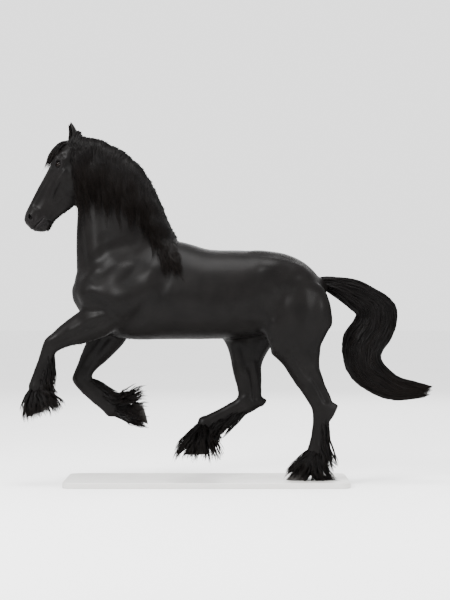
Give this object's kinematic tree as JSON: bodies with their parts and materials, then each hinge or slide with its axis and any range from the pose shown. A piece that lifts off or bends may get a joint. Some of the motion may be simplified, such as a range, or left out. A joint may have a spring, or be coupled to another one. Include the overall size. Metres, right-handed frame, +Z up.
{
  "type": "friesian horse",
  "caption": "Life-size still model of a black Friesian horse in canter, with long mane, full tail and feathered legs, on a flat display base.",
  "frame": {"origin": "middle of the floor under the horse, on the underside of the display base", "axes": "+Z up; -X is the way the horse faces; -Y is its left side, which the picture shows"},
  "size_m": [2.7029, 0.7, 2.3794],
  "materials": {
    "coat": "short glossy black coat and long black hair",
    "hoof_horn": "dark ridged horn",
    "eye": "wet dark brown",
    "base_plate": "satin pale grey paint"
  },
  "bodies": {
    "root": {"ear_left": "coat", "ear_right": "coat", "eye_left": "eye", "eye_right": "eye", "fore_left_cannon": "coat", "fore_left_forearm": "coat", "fore_left_hoof": "hoof_horn", "fore_right_cannon": "coat", "fore_right_forearm": "coat", "fore_right_hoof": "hoof_horn", "head": "coat", "hind_left_cannon": "coat", "hind_left_gaskin": "coat", "hind_left_hoof": "hoof_horn", "hind_left_thigh": "coat", "hind_right_cannon": "coat", "hind_right_gaskin": "coat", "hind_right_hoof": "hoof_horn", "hind_right_thigh": "coat", "neck": "coat", "stand_base": "base_plate", "tail_end": "coat", "tail_middle": "coat", "tail_upper": "coat", "torso": "coat"}
  },
  "joints": []
}
